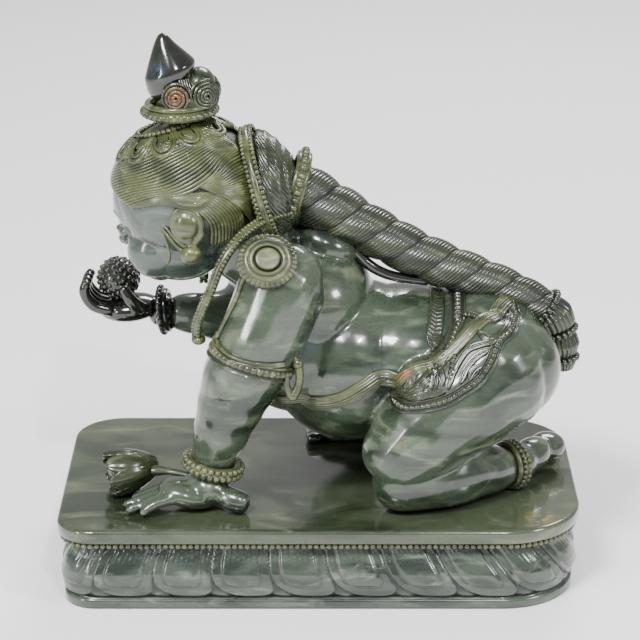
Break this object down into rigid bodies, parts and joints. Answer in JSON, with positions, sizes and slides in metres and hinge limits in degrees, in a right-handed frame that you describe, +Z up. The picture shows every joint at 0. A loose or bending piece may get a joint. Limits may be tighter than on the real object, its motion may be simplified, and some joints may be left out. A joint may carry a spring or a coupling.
{
  "type": "crawling infant deity statue",
  "caption": "Stone carving of a crawling infant deity with topknot, long braid and jewellery, a ball of sweetmeat in one hand, on a rounded lotus-petal plinth.",
  "frame": {"origin": "centre of the plinth's flat underside", "axes": "+Z up, +X from the infant's face towards its feet along the plinth's length, +Y towards the infant's right"},
  "size_m": [0.205, 0.116, 0.2154],
  "materials": {
    "labradorite": "polished dark green labradorite with cloudy veins"
  },
  "bodies": {
    "root": {"crawling_infant_on_plinth": "labradorite"}
  },
  "joints": []
}
